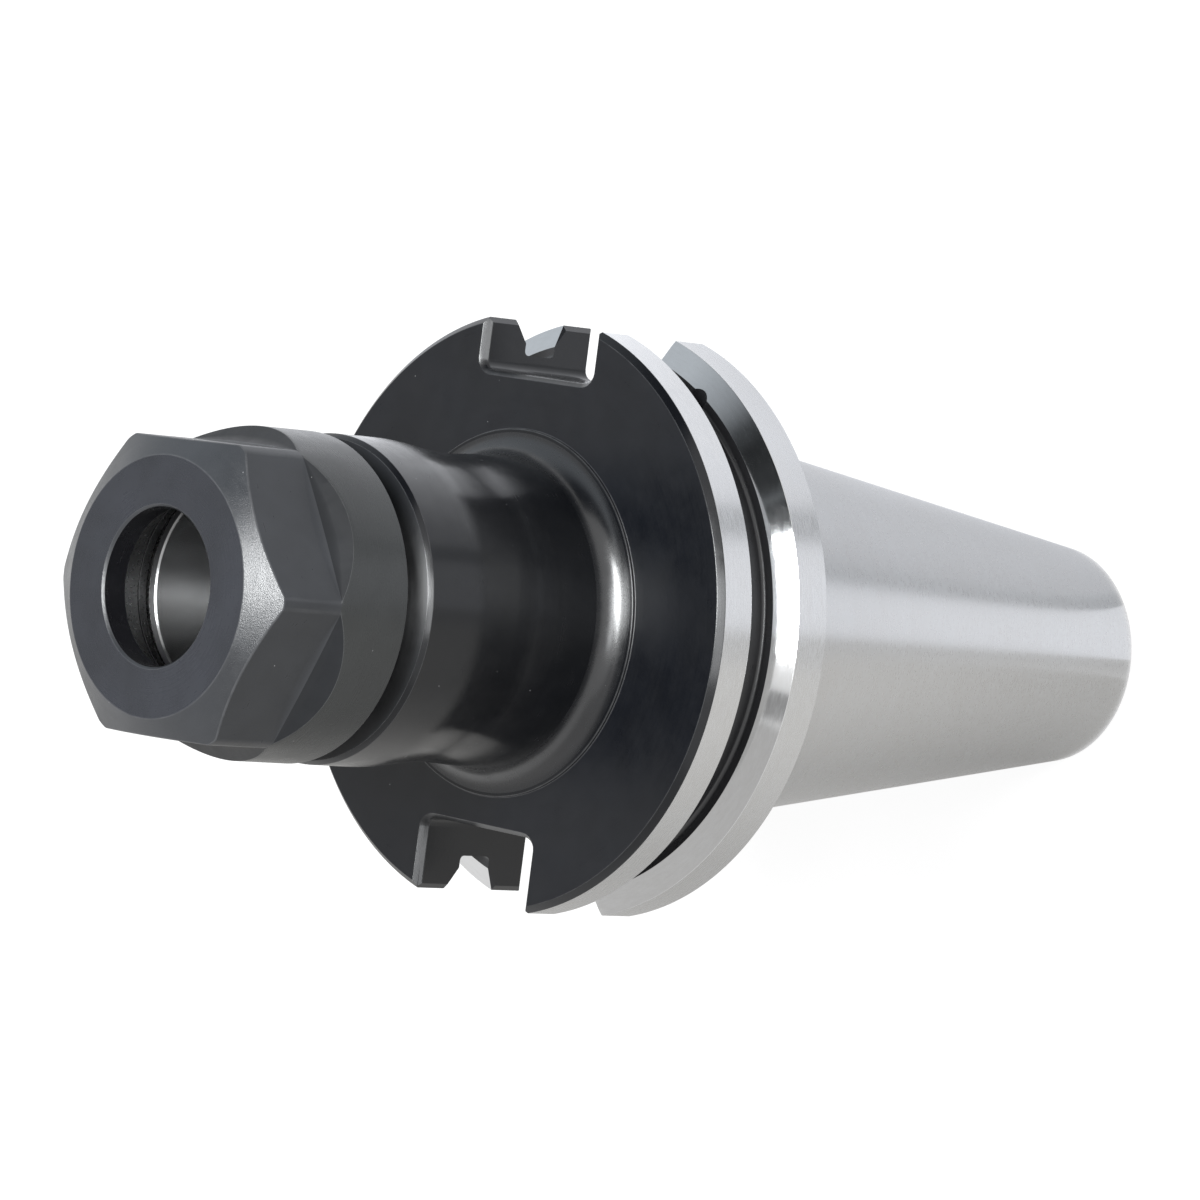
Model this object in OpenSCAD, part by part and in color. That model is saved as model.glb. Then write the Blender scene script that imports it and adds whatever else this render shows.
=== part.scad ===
// Collet chuck holder with a steep 7:24 taper, a gripper flange and a hexagonal clamping nut.
// It stands on the small end of its taper, with the spindle axis on Z and the nut on top.
// Heights are given from the gauge plane, where the taper has its nominal diameter.

/* [Taper shank] */
// Diameter of the taper at the gauge plane
gauge_d = 44.45; // [43.6:0.05:45.6]
// Gauge plane down to the small end
taper_len = 68.4; // [62:0.1:76]
// Diameter that the taper gains over its run
taper_rise = 7; // [6.6:0.1:7.4]
// Length over which the taper gains that rise
taper_run = 24; // [23:0.5:26]
// Chamfer round the small end
end_chamfer = 0.8; // [0.3:0.1:1.4]
// Width of the grinding relief behind the flange
relief_w = 2; // [1:0.1:2.4]
// Depth of the grinding relief below the gauge diameter
relief_depth = 0.6; // [0.2:0.1:0.9]

/* [Pull stud end] */
// Diameter of the pilot bore that centres the pull stud
pilot_d = 17; // [16.4:0.1:18]
// Depth of the pilot bore
pilot_depth = 8.2; // [6:0.1:10]
// Chamfer round the mouth of the pilot bore
pilot_chamfer = 0.5; // [0.2:0.1:1]
// Nominal diameter of the pull stud thread
stud_thread_d = 16; // [15.6:0.1:16.4]
// Pitch of the pull stud thread
stud_pitch = 2; // [1.5:0.25:2]
// Depth of the tapped hole, from the small end
stud_hole_depth = 43; // [38:0.5:50]
// Point angle of the drill that made the tapped hole and the balance drillings
drill_point = 118; // [110:1:140]

/* [Collet socket] */
// Diameter of the through bore
through_d = 13; // [11:0.1:13.2]
// Diameter of the socket at the nose face
socket_d = 21; // [20.4:0.1:21.6]
// Angle between the socket wall and the axis
socket_angle = 8; // [7.5:0.5:9]
// Chamfer round the socket's mouth
socket_chamfer = 0.5; // [0.2:0.1:0.7]

/* [Flange] */
// Diameter of the flange
flange_d = 63.55; // [62.8:0.05:66]
// Gauge plane to the flange's rear face
flange_rear = 3.2; // [2.8:0.1:4]
// Gauge plane to the flange's front face
flange_front = 19.1; // [18.4:0.1:21]
// Gauge plane to the middle of the gripper groove
groove_mid = 11.1; // [10.6:0.1:11.8]
// Angle between the two flanks of the groove
groove_angle = 60; // [54:1:64]
// Diameter of the gauge pins laid in the groove
gauge_pin_d = 7; // [6.8:0.05:7.2]
// Size measured over two gauge pins laid in the groove
over_pins = 72.3; // [71.8:0.05:72.8]
// Width of the parallel slot below the flanks
groove_slot_w = 4.26; // [3.6:0.02:4.7]
// Diameter of the groove's floor
groove_floor_d = 56.2; // [54:0.1:57]
// Radius in the corners of the groove's floor
groove_fillet = 0.5; // [0.2:0.1:0.8]
// Chamfer round the flange's front face
front_chamfer = 0.65; // [0.3:0.05:1.2]
// Chamfer round the flange's rear face
rear_chamfer = 0.3; // [0.1:0.05:0.6]

/* [Drive slots] */
// Width of both drive slots
slot_w = 16.1; // [15:0.1:18]
// Axis to the floor of the shallow slot
shallow_floor = 25; // [24:0.1:26]
// Axis to the floor of the deep slot
deep_floor = 22.8; // [22.5:0.1:24]
// Radius between a slot's floor and its walls
slot_fillet = 1.2; // [0.5:0.1:2]
// Chamfer where a slot's walls meet the flange's rim
slot_chamfer = 0.7; // [0.3:0.05:1.2]
// Chamfer that runs round a slot at both faces of the flange
slot_edge = 0.75; // [0.3:0.05:1]

/* [Balance drillings] */
// Diameter of the two balance drillings in the groove
balance_d = 4.8; // [3.6:0.1:5.6]
// Depth of the drillings below the groove's floor
balance_depth = 16; // [8:0.5:17]
// Angle of each drilling from the middle of the shallow slot
balance_angle = 30; // [25:0.5:45]

/* [Nose] */
// Diameter of the low step round the root of the nose
root_d = 38.8; // [38.4:0.1:41]
// Height of that step above the flange
root_step = 0.35; // [0.15:0.05:0.6]
// Radius of the fillet between flange and neck
neck_fillet = 2.5; // [1.5:0.1:2.8]
// Diameter of the neck
neck_d = 32; // [30.6:0.1:32.6]
// Diameter of the collar behind the nut
collar_d = 34; // [33.4:0.1:35]
// Angle between the axis and the cone that leads from the neck to the collar
neck_cone_angle = 8; // [7:0.5:15]
// Gauge plane to the start of the collar's cylinder
collar_start = 38.7; // [38:0.1:40]
// Gauge plane to the collar's front face
collar_front = 45.75; // [44:0.05:46.6]
// Chamfer round the collar's front face
collar_chamfer = 0.45; // [0.2:0.05:0.9]
// Nominal diameter of the nose thread
nose_thread_d = 25; // [24.4:0.1:25.4]
// Gauge plane to the nose's front face
nose_front = 58.8; // [57.6:0.1:60]
// Chamfer on the first turn of the nose thread
nose_chamfer = 0.8; // [0.4:0.1:1]
// Width of the thread relief in front of the collar
nose_relief_w = 2.2; // [1.4:0.1:3]
// Depth of that relief below the thread's nominal radius
nose_relief_depth = 1.1; // [0.6:0.1:1.3]

/* [Clamping nut] */
// Length of the nut
nut_len = 19; // [18:0.1:20.5]
// Diameter of the nut
nut_d = 34; // [33:0.1:34.4]
// Size across the nut's flats
nut_flats = 30; // [29:0.1:31]
// Nose face to the nut's front face
nut_reach = 8.7; // [8.4:0.1:9.8]
// Angle to which the nut is screwed, from +X to a corner
nut_phase = 31.8; // [0:0.1:60]
// Diameter of the flat front face
nut_face_d = 26.46; // [24.8:0.02:28]
// Angle of the front chamfer to the front face
nut_face_angle = 30; // [20:1:35]
// Front face to the end of the flats
flats_len = 9.8; // [9:0.1:12]
// Angle at which the flats run out to the rear cylinder
flats_runout = 45; // [30:1:60]
// Chamfer round the nut's rear face
nut_rear_chamfer = 0.4; // [0.2:0.05:0.8]
// Radial play between the nut's thread and the nose
thread_play = 0.05; // [0.02:0.01:0.08]
// Chamfer at the rear mouth of the nut's thread
thread_lead = 0.7; // [0.3:0.1:1.1]

/* [Nut mouth] */
// Diameter of the nut's front hole
mouth_d = 16.1; // [14:0.1:17.4]
// Length of that hole
mouth_len = 2.9; // [2:0.1:3.4]
// Chamfer round the front hole
mouth_chamfer = 0.25; // [0.1:0.05:0.5]
// Angle between the pressing cone and the axis
press_angle = 30; // [28:0.5:34]
// Large diameter of the pressing cone
press_d = 19.9; // [19:0.1:20.4]
// Diameter of the recess for the collet's rim
rim_recess_d = 21.4; // [21.3:0.1:22.6]
// Width of the recess for the collet's rim
rim_recess_w = 0.7; // [0.4:0.1:0.8]
// Diameter of the eccentric hole in the extraction lip
lip_d = 20; // [19.2:0.1:20.1]
// Offset of that hole from the axis
lip_offset = 0.55; // [0.3:0.05:0.6]
// Thickness of the extraction lip
lip_w = 1; // [0.7:0.1:1.1]
// Width of the thread relief behind the lip
nut_relief_w = 1.6; // [1.2:0.1:3]
// Depth of that relief beyond the nut's thread
nut_relief_depth = 0.3; // [0.1:0.05:0.5]

/* [Hidden] */
$fn = 96;

// Length by which a cutter passes the face that it opens
cut_over = 1;
// Length by which a piece of the section reaches into the next one
root_len = 0.5;
// Depth of an internal thread as a share of its pitch, from the basic profile
minor_share = 5 / 8 * cos(30);

// Heights of the holder above its small end
rear_z = taper_len + flange_rear;
front_z = taper_len + flange_front;
groove_z = taper_len + groove_mid;
relief_z = rear_z - relief_w;
foot_z = front_z + root_step;
collar_z = taper_len + collar_start;
shoulder_z = taper_len + collar_front;
nose_z = taper_len + nose_front;

// Radii of the holder
function taper_r(z) = gauge_d / 2 + (z - taper_len) * taper_rise / taper_run / 2;
gauge_r = gauge_d / 2;
relief_r = gauge_r - relief_depth;
flange_r = flange_d / 2;
floor_r = groove_floor_d / 2;
root_r = root_d / 2;
neck_r = neck_d / 2;
collar_r = collar_d / 2;
thread_r = nose_thread_d / 2;
nose_relief_r = thread_r - nose_relief_depth;
pilot_r = pilot_d / 2;
tapped_r = stud_thread_d / 2 - minor_share * stud_pitch;
through_r = through_d / 2;
socket_r = socket_d / 2;
socket_len = (socket_r - through_r) / tan(socket_angle);

// Groove flanks, from the point where they would meet below the pins
flank_angle = groove_angle / 2;
pin_r = gauge_pin_d / 2;
apex_r = over_pins / 2 - pin_r - pin_r / sin(flank_angle);
slot_half = groove_slot_w / 2;
rim_half = (flange_r - apex_r) * tan(flank_angle);
flank_foot_r = apex_r + slot_half / tan(flank_angle);

// Where the cone starts on the neck
cone_z = collar_z - abs(collar_r - neck_r) / tan(neck_cone_angle);

// Nut, with its front face at height zero
nut_z = nose_z + nut_reach;
nut_r = nut_d / 2;
face_r = nut_face_d / 2;
mouth_r = mouth_d / 2;
press_r = press_d / 2;
nut_thread_r = thread_r + thread_play;
recess_z = -mouth_len - (press_r - mouth_r) / tan(press_angle);
lip_front_z = recess_z - rim_recess_w;
lip_rear_z = lip_front_z - lip_w;
thread_z = lip_rear_z - nut_relief_w;

body_colour = [0.62, 0.62, 0.63];
nut_colour = [0.2, 0.21, 0.23];

// Taper, flange and nose in section, without the bores and slots
module outer_profile() {
    polygon([
        [0, 0],
        [taper_r(0) - end_chamfer, 0],
        [taper_r(end_chamfer), end_chamfer],
        [taper_r(relief_z), relief_z],
        [relief_r, relief_z + (taper_r(relief_z) - relief_r)],
        [relief_r, rear_z],
        [flange_r - rear_chamfer, rear_z],
        [flange_r, rear_z + rear_chamfer],
        [flange_r, groove_z - rim_half],
        [flank_foot_r, groove_z - slot_half],
        [floor_r, groove_z - slot_half],
        [floor_r, groove_z + slot_half],
        [flank_foot_r, groove_z + slot_half],
        [flange_r, groove_z + rim_half],
        [flange_r, front_z - front_chamfer],
        [flange_r - front_chamfer, front_z],
        [root_r, front_z],
        [root_r, foot_z],
        [0, foot_z]
    ]);
    neck_foot();
    translate([0, foot_z - root_len]) square([neck_r, cone_z - foot_z + 2 * root_len]);
    polygon([
        [0, cone_z],
        [neck_r, cone_z],
        [collar_r, collar_z],
        [collar_r, shoulder_z - collar_chamfer],
        [collar_r - collar_chamfer, shoulder_z],
        [nose_relief_r, shoulder_z],
        [nose_relief_r, shoulder_z + nose_relief_w],
        [thread_r, shoulder_z + nose_relief_w + nose_relief_depth],
        [thread_r, nose_z - nose_chamfer],
        [thread_r - nose_chamfer, nose_z],
        [0, nose_z]
    ]);
    for (side = [-1, 1]) groove_corner(side);
}

// Fillet between flange and neck, rooted in both
module neck_foot() {
    difference() {
        translate([neck_r - root_len, foot_z - root_len]) square(neck_fillet + root_len);
        translate([neck_r + neck_fillet, foot_z + neck_fillet]) circle(r = neck_fillet);
    }
}

// Fillet in one corner of the groove's floor, rooted in the floor and in the wall
module groove_corner(side) {
    inner_z = groove_z + side * (slot_half - groove_fillet);
    width = groove_fillet + root_len;
    difference() {
        translate([floor_r - root_len, side > 0 ? inner_z : inner_z - width]) square(width);
        translate([floor_r + groove_fillet, inner_z]) circle(r = groove_fillet, $fn = 32);
    }
}

// Everything that is bored or drilled along the axis, in section
module bore_profile() {
    tip_len = (tapped_r - through_r) / tan(drill_point / 2);
    polygon([
        [0, -cut_over],
        [pilot_r + pilot_chamfer + cut_over, -cut_over],
        [pilot_r, pilot_chamfer],
        [pilot_r, pilot_depth],
        [tapped_r, pilot_depth],
        [tapped_r, stud_hole_depth],
        [through_r, stud_hole_depth + tip_len],
        [through_r, nose_z - socket_len],
        [socket_r - socket_chamfer * tan(socket_angle), nose_z - socket_chamfer],
        [socket_r + socket_chamfer + cut_over, nose_z + cut_over],
        [0, nose_z + cut_over]
    ]);
}

// Cutter for a drive slot whose floor lies at floor_x, seen along the axis
module slot_profile(floor_x) {
    half = slot_w / 2;
    far_x = flange_r + cut_over;
    // Where the wall meets the rim, and where its chamfer starts
    edge_x = sqrt(flange_r * flange_r - half * half);
    start_x = edge_x - slot_chamfer;
    translate([floor_x, slot_fillet - half]) square([far_x - floor_x, slot_w - 2 * slot_fillet]);
    translate([floor_x + slot_fillet, -half]) square([far_x - floor_x - slot_fillet, slot_w]);
    for (side = [-1, 1]) {
        translate([floor_x + slot_fillet, side * (half - slot_fillet)]) circle(r = slot_fillet, $fn = 48);
        polygon([
            [start_x, 0],
            [start_x, side * half],
            [far_x, side * (half + far_x - start_x)],
            [far_x, 0]
        ]);
    }
}

// Cutter for the chamfer round a drive slot, with the flange's face at height zero
module slot_edge_cutter(floor_x) {
    half = slot_w / 2;
    far_x = flange_r + cut_over;
    centre_x = floor_x + slot_fillet;
    centre_y = half - slot_fillet;
    depth = slot_edge + cut_over;
    // Along both walls
    translate([centre_x, 0, 0]) rotate([90, 0, 90]) linear_extrude(height = far_x - centre_x) polygon([
        [-half, -slot_edge],
        [half, -slot_edge],
        [half + depth, cut_over],
        [-half - depth, cut_over]
    ]);
    // Along the floor
    translate([0, centre_y, 0]) rotate([90, 0, 0]) linear_extrude(height = 2 * centre_y) polygon([
        [floor_x, -slot_edge],
        [far_x, -slot_edge],
        [far_x, cut_over],
        [floor_x - depth, cut_over]
    ]);
    // Round both corners
    for (side = [-1, 1]) translate([centre_x, side * centre_y, -slot_edge])
        cylinder(r1 = slot_fillet, r2 = slot_fillet + depth, h = depth);
}

module drive_slot(floor_x, turn) {
    rotate([0, 0, turn]) {
        translate([0, 0, rear_z - cut_over])
            linear_extrude(height = front_z - rear_z + 2 * cut_over) slot_profile(floor_x);
        translate([0, 0, front_z]) slot_edge_cutter(floor_x);
        translate([0, 0, rear_z]) mirror([0, 0, 1]) slot_edge_cutter(floor_x);
    }
}

// Drilling that enters through the groove and ends in a drill point
module balance_drilling(turn) {
    end_r = floor_r - balance_depth;
    tip_len = balance_d / 2 / tan(drill_point / 2);
    rotate([0, 0, turn]) translate([end_r, 0, groove_z]) rotate([0, 90, 0]) {
        cylinder(d = balance_d, h = flange_r + cut_over - end_r);
        translate([0, 0, -tip_len]) cylinder(d1 = 0, d2 = balance_d, h = tip_len);
    }
}

module holder_body() {
    color(body_colour) difference() {
        rotate_extrude() outer_profile();
        rotate_extrude() bore_profile();
        drive_slot(shallow_floor, 0);
        drive_slot(deep_floor, 180);
        for (side = [-1, 1]) balance_drilling(side * balance_angle);
    }
}

// Nut in section, with its lip still drawn down to the size of the front hole
module nut_profile() {
    polygon([
        [mouth_r + mouth_chamfer, 0],
        [face_r, 0],
        [nut_r, -(nut_r - face_r) * tan(nut_face_angle)],
        [nut_r, nut_rear_chamfer - nut_len],
        [nut_r - nut_rear_chamfer, -nut_len],
        [nut_thread_r + thread_lead, -nut_len],
        [nut_thread_r, thread_lead - nut_len],
        [nut_thread_r, thread_z - nut_relief_depth],
        [nut_thread_r + nut_relief_depth, thread_z],
        [nut_thread_r + nut_relief_depth, lip_rear_z],
        [mouth_r, lip_rear_z],
        [mouth_r, lip_front_z],
        [rim_recess_d / 2, lip_front_z],
        [rim_recess_d / 2, recess_z],
        [press_r, recess_z],
        [mouth_r, -mouth_len],
        [mouth_r, -mouth_chamfer]
    ]);
}

// Cutter for one wrench flat, with its sloped run-out
module flat_cutter() {
    flat_r = nut_flats / 2;
    depth = nut_r - flat_r + cut_over;
    rotate([90, 0, 0]) linear_extrude(height = 2 * nut_r, center = true) polygon([
        [flat_r, cut_over],
        [flat_r, -flats_len],
        [flat_r + depth, -flats_len - depth * tan(flats_runout)],
        [flat_r + depth, cut_over]
    ]);
}

module clamping_nut() {
    color(nut_colour) translate([0, 0, nut_z]) rotate([0, 0, nut_phase]) difference() {
        rotate_extrude() nut_profile();
        for (turn = [30 : 60 : 330]) rotate([0, 0, turn]) flat_cutter();
        rotate([0, 0, 60]) translate([lip_offset, 0, lip_rear_z - nut_relief_w / 2])
            cylinder(d = lip_d, h = lip_w + (nut_relief_w + rim_recess_w) / 2);
    }
}

holder_body();
clamping_nut();
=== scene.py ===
import math

import bpy
from mathutils import Matrix, Vector


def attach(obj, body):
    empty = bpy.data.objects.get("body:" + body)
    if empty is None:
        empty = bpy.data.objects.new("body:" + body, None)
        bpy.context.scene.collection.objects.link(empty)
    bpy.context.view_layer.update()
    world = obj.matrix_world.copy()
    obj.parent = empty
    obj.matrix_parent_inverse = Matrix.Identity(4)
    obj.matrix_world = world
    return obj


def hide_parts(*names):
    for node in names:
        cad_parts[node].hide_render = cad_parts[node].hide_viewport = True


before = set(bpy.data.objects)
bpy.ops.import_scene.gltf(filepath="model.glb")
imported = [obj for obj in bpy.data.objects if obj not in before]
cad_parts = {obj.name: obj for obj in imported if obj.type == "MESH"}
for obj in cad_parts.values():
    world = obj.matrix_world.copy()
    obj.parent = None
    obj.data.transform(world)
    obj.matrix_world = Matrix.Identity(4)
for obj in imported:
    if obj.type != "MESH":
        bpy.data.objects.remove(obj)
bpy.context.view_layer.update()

# Collet chuck holder: one turned and ground body and one clamping nut.
# Sizes are in millimetres, as in the model's source, and become metres when a mesh is made.
MM = 0.001
# Points round each ring of the body's skin
COLUMNS = 240
# Slack for sizes that went through single precision
SLACK = 1e-3
# Points nearer to each other than this become one
WELD_GAP = 0.002

# Taper shank
GAUGE_R = 22.225
TAPER_LEN = 68.4
TAPER_SLOPE = 7 / 24 / 2
END_CHAMFER = 0.8
RELIEF_W = 2.0
RELIEF_R = 21.625

# Pull stud end and bores
PILOT_R = 8.5
PILOT_DEPTH = 8.2
PILOT_CHAMFER = 0.5
STUD_MINOR_R = 6.9175
STUD_MAJOR_R = 8.0
STUD_PITCH = 2.0
STUD_THREAD_END = 34.0
STUD_THREAD_LEAD = 0.3
STUD_RUN_IN = 0.8
STUD_RUN_OUT = 1.0
# Start and end of a thread's flank, in shares of the pitch from the middle of its root
THREAD_FLANK = (0.0625, 0.375)
# Rings of the skin in one pitch of the thread
THREAD_RINGS = 12
STUD_HOLE_DEPTH = 43.0
THROUGH_R = 6.5
SOCKET_R = 10.5
SOCKET_ANGLE = math.radians(8)
SOCKET_CHAMFER = 0.5

# Flange
FLANGE_R = 31.775
REAR_Z = TAPER_LEN + 3.2
GROOVE_Z = TAPER_LEN + 11.1
FRONT_Z = TAPER_LEN + 19.1
FLANK_ANGLE = math.radians(30)
PIN_R = 3.5
OVER_PINS = 72.3
SLOT_HALF = 2.13
FLOOR_R = 28.1
FLOOR_FILLET = 0.5
FRONT_CHAMFER = 0.65
REAR_CHAMFER = 0.3
# The rings of the flange lie outside this radius
FLANGE_FROM = 26.0
# The shading of a flank is made exact where it is off by less than this
FLANK_MATCH = math.radians(8)

# Drive slots
KEY_HALF = 8.05
SHALLOW_FLOOR = 25.0
DEEP_FLOOR = 22.8
KEY_FILLET = 1.2
KEY_CHAMFER = 0.7
KEY_WALL_EDGE = 0.75
KEY_FLOOR_EDGE = 0.45
KEY_EDGE_SOFT = 0.06
# Rings across each turn of that chamfer, in shares of its softness
KEY_EDGE_RINGS = (-1, -0.4, 0.3, 1)
# Those rings stay this far from the corners of the flange's front chamfer
KEY_RING_CLEAR = 0.08
# Points of half a slot's outline, from the middle out, that wear with the floor's chamfer
KEY_FLOOR_POINTS = 7

# Balance drillings
DRILLING_R = 2.4
DRILLING_DEPTH = 16.0
DRILLING_ANGLE = 30
DRILL_POINT = math.radians(59)

# Nose
ROOT_R = 19.4
FOOT_Z = FRONT_Z + 0.35
NECK_R = 15.95
NECK_FOOT_R = 16.5
NECK_FILLET = 2.5
COLLAR_R = 17.0
NECK_CONE = math.radians(8)
CONE_BLEND = 26.0
COLLAR_Z = TAPER_LEN + 38.7
SHOULDER_Z = TAPER_LEN + 45.75
COLLAR_CHAMFER = 0.45
NOSE_THREAD_R = 12.5
NOSE_Z = TAPER_LEN + 58.8
NOSE_CHAMFER = 0.8
NOSE_RELIEF_W = 2.2
NOSE_RELIEF_DEPTH = 1.1

# Clamping nut, with heights from its front face
NUT_Z = NOSE_Z + 8.7
NUT_LEN = 19.0
NUT_R = 17.0
NUT_FLAT = 15.0
NUT_PHASE = 31.8
NUT_FACE_R = 13.23
NUT_FACE_SLOPE = math.tan(math.radians(30))
FLATS_LEN = 9.8
# Rounding between two flats, and of the milled run-out behind them
HEX_CORNER = 1.2
FLAT_RUN_OUT = 3.0
# Height that the longest run-out takes, with a little to spare
RUN_OUT_H = 2.3
# Share of the full wear that the corners between the flats show
CORNER_WEAR = 0.4
NUT_REAR_CHAMFER = 0.4
NUT_THREAD_R = 12.55
THREAD_LEAD = 0.7
MOUTH_R = 8.05
MOUTH_LEN = 2.9
MOUTH_CHAMFER = 0.25
PRESS_R = 9.95
PRESS_SLOPE = math.tan(math.radians(30))
RECESS_R = 10.7
RECESS_W = 0.7
LIP_R = 10.0
LIP_OFFSET = 0.55
LIP_W = 1.0
NUT_RELIEF_W = 1.6
NUT_RELIEF_DEPTH = 0.3

# Finishes of the body, in the order of its material slots
(GROUND_TAPER, GROUND_RIM, GROUND_FLANK, BLACK_BODY, BLACK_GROOVE, GROUND_SOCKET, DARK_BORE,
 CUT_THREAD, TURNED_SHOULDER, TURNED_FACE, TURNED_FILLET) = range(11)
# Finishes of the nut, in the order of its material slots
NUT_FACE, NUT_CONE, NUT_SIDES, NUT_RUN_OUT, NUT_TURNED, NUT_PRESS, NUT_INSIDE = range(7)


def taper_r(z):
    return GAUGE_R + (z - TAPER_LEN) * TAPER_SLOPE


# Profiles
# A rounding takes at most this share of each edge beside it
ROUNDING_SHARE = 0.45
# An edge shorter than this has no direction
NO_LENGTH = 1e-6


def corner(r, z, finish, radius=0.0, steps=0):
    """A corner of a section; finish is that of the edge that leaves it.

    A corner with steps is broken by an arc of that radius and that many faces.
    """
    return r, z, finish, radius, steps


def arc(centre, radius, start, end, steps, finish):
    """Plain corners along an arc of a section, angles in degrees."""
    points = []
    for i in range(steps + 1):
        a = math.radians(start + (end - start) * i / steps)
        points.append(corner(centre[0] + radius * math.cos(a), centre[1] + radius * math.sin(a),
                             finish))
    return points


def rounded(corners):
    """Breaks the corners of a closed section. Gives (r, z, rub, finish) for each point.

    rub is 1 where the edge wears and 0 elsewhere.
    """
    points = []
    count = len(corners)
    for i, (r, z, finish, radius, steps) in enumerate(corners):
        here = Vector((r, z))
        if not steps:
            points.append((r, z, 0.0, finish))
            continue
        before = Vector(corners[i - 1][:2])
        after = Vector(corners[(i + 1) % count][:2])
        came = here - before
        goes = after - here
        if min(came.length, goes.length) < NO_LENGTH:
            points += [(r, z, 0.0, finish)] * (steps + 1)
            continue
        turn = came.angle(goes)
        cut = min(radius * math.tan(turn / 2), ROUNDING_SHARE * came.length,
                  ROUNDING_SHARE * goes.length)
        start = here - came.normalized() * cut
        end = here + goes.normalized() * cut
        for k in range(steps + 1):
            t = k / steps
            # Conic with the arc's own weight, so the points lie on a circle
            w = math.cos(turn / 2)
            a, b, c = (1 - t) ** 2, 2 * w * t * (1 - t), t * t
            p = (start * a + here * b + end * c) / (a + b + c)
            # Only the small edges wear
            soft = radius > 1
            rub = 0.0 if soft or k in (0, steps) else 1.0
            leaves = corners[i - 1][2] if t < 0.5 else finish
            points.append((p.x, p.y, rub, leaves))
    return points


# Angles of the columns of half a drive slot on a round ring, from the middle of the slot
HALF_SLOT = [0, 2.8, 5.6, 8.4, 11.2, 14, 16, 18, 20, 22, 24, 25.5, 27, 28.5, 30]
SLOT_COLUMNS = len(HALF_SLOT) - 1
RIM_STEPS = (COLUMNS - 4 * SLOT_COLUMNS) // 2


def column_angles():
    """Angles of the columns of a round ring, with a drive slot at both ends of X."""
    slot_end = HALF_SLOT[-1]
    rim = 180 - 2 * slot_end
    ring = list(HALF_SLOT)
    ring += [slot_end + rim * i / RIM_STEPS for i in range(1, RIM_STEPS)]
    ring += [180 - a for a in reversed(HALF_SLOT)]
    side = ring[1:-1]
    return [math.radians(a) for a in ring + [360 - a for a in reversed(side)]]


COLUMN_ANGLES = column_angles()


def round_ring(r, z):
    return [(r * math.cos(a), r * math.sin(a), z) for a in COLUMN_ANGLES]


def slot_outline(floor, rim_r, wall_grow, floor_grow):
    """Half of a drive slot's outline on +X, from the middle of its floor out to the rim."""
    steps = 5
    half = KEY_HALF + wall_grow
    centre = Vector((floor + KEY_FILLET, KEY_HALF - KEY_FILLET))
    points = [(floor - floor_grow, centre.y * i / steps) for i in range(steps + 1)]
    for i in range(1, steps + 1):
        a = math.pi - i / steps * math.pi / 2
        points.append((centre.x + (KEY_FILLET + floor_grow) * math.cos(a),
                       centre.y + (KEY_FILLET + wall_grow) * math.sin(a)))
    # The chamfer between wall and rim lies on the line y = x + shift
    full_edge = math.sqrt(FLANGE_R ** 2 - KEY_HALF ** 2)
    shift = KEY_HALF - (full_edge - KEY_CHAMFER)
    rim_x = (-shift + math.sqrt(2 * rim_r ** 2 - shift ** 2)) / 2
    rim = (rim_x, rim_x + shift)
    chamfer_x = half - shift
    least = 0.02
    if rim_x < chamfer_x + least:
        rim = (math.sqrt(rim_r ** 2 - half ** 2), half)
        chamfer_x = rim[0] - least
    for i in range(1, 3):
        points.append((centre.x + (chamfer_x - centre.x) * i / 3, half))
    points.append((chamfer_x, half))
    points.append(rim)
    return points


def slotted_ring(rim_r, z):
    """A ring of the flange at one height, with both drive slots cut into it."""
    depth = min(z - REAR_Z, FRONT_Z - z)
    grow = key_grow(KEY_WALL_EDGE, depth), key_grow(KEY_FLOOR_EDGE, depth)
    near = slot_outline(SHALLOW_FLOOR, rim_r, *grow)
    far = slot_outline(DEEP_FLOOR, rim_r, *grow)
    start = math.atan2(near[-1][1], near[-1][0])
    end = math.pi - math.atan2(far[-1][1], far[-1][0])
    half = list(near)
    for i in range(1, RIM_STEPS):
        a = start + (end - start) * i / RIM_STEPS
        half.append((rim_r * math.cos(a), rim_r * math.sin(a)))
    half += [(-x, y) for x, y in reversed(far)]
    side = half[1:-1]
    return [(x, y, z) for x, y in half + [(x, -y) for x, y in reversed(side)]]


def in_slot(column):
    """True for the faces between two points of a drive slot's outline."""
    half = COLUMNS // 2
    return (column % half) < SLOT_COLUMNS or (column % half) >= half - SLOT_COLUMNS


def key_grow(edge, depth):
    """How far a chamfer has widened the slot at a depth below the flange's face."""
    rest = edge - depth
    if rest < -KEY_EDGE_SOFT:
        return 0.0
    if rest < KEY_EDGE_SOFT:
        return (rest + KEY_EDGE_SOFT) ** 2 / (4 * KEY_EDGE_SOFT)
    return rest + max(KEY_EDGE_SOFT - depth, 0.0) ** 2 / (2 * KEY_EDGE_SOFT)


def key_rub(column, depth):
    """Wear on the two edges of the chamfer round a drive slot."""
    turn = column % (COLUMNS // 2)
    out = min(turn, COLUMNS // 2 - turn)
    edge = KEY_FLOOR_EDGE if out < KEY_FLOOR_POINTS else KEY_WALL_EDGE
    inner = abs(edge - depth) < KEY_EDGE_SOFT * 0.7
    outer = SLACK / 10 < depth < KEY_EDGE_SOFT
    return 1.0 if inner or outer else 0.0


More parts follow.
